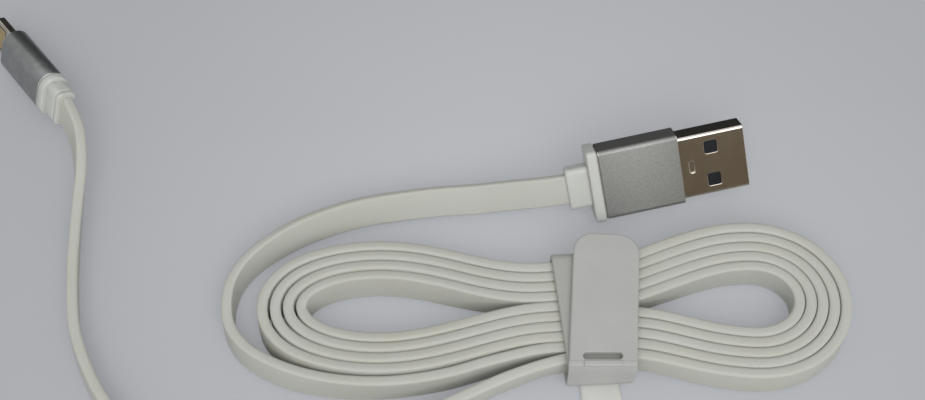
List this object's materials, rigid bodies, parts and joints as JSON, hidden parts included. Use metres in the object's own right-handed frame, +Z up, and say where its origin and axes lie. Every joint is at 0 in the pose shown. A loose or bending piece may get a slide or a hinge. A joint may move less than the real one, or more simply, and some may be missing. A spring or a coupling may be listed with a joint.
{
  "type": "charging cable",
  "caption": "Flat charging cable folded into a tied hank, with a wide host plug, a slim device plug and a soft strap whose tab lifts.",
  "frame": {"origin": "on the table under the hank's waist, on the underside of the strap", "axes": "+X along the hank away from the free stretches, +Y across the table towards the plugs, +Z up"},
  "size_m": [0.1603, 0.0934, 0.0157],
  "materials": {
    "cable_jacket": "smooth satin soft plastic, creamy white",
    "strap_silicone": "matt light grey silicone",
    "plug_plastic": "satin off-white moulded plastic",
    "host_metal": "fine blasted, with bright polished edges",
    "shell_metal": "plated sheet, mirror smooth",
    "device_metal": "dark grey blasted",
    "tab_metal": "plated and polished",
    "contact_gold": "gold plated, bright",
    "insulator_black": "smooth black",
    "block_dark": "smooth dark grey",
    "mould_inner": "translucent white hot melt",
    "clamp_steel": "plain pressed sheet",
    "board_green": "solder mask, satin",
    "chip_black": "moulded black",
    "wire_insulation": "thin coloured insulation"
  },
  "bodies": {
    "root": {"cable_hank": "cable_jacket", "cable_host_stretch": "cable_jacket", "cable_device_stretch": "cable_jacket", "strap_band": "strap_silicone", "host_shell": "shell_metal", "host_insulator": "insulator_black", "host_contacts": "contact_gold", "host_wires": "wire_insulation", "host_cable_clamp": "clamp_steel", "host_inner_mould": "mould_inner", "host_sleeve": "host_metal", "host_end_cap": "plug_plastic", "host_neck": "plug_plastic", "device_tab": "tab_metal", "device_contact_block": "block_dark", "device_contacts": "contact_gold", "device_circuit_board": "board_green", "device_chip": "chip_black", "device_shield": "clamp_steel", "device_wires": "wire_insulation", "device_inner_mould": "mould_inner", "device_sleeve": "device_metal", "device_end_collar": "plug_plastic", "device_neck": "plug_plastic"},
    "tab": {"strap_tab": "strap_silicone"}
  },
  "joints": [
    {"name": "tab_fold", "type": "hinge", "parent": "root", "child": "tab", "pos_m": [-0.00122, -0.01215, 0.0088], "axis": [1, 0, 0], "range_deg": [0, 110]}
  ]
}
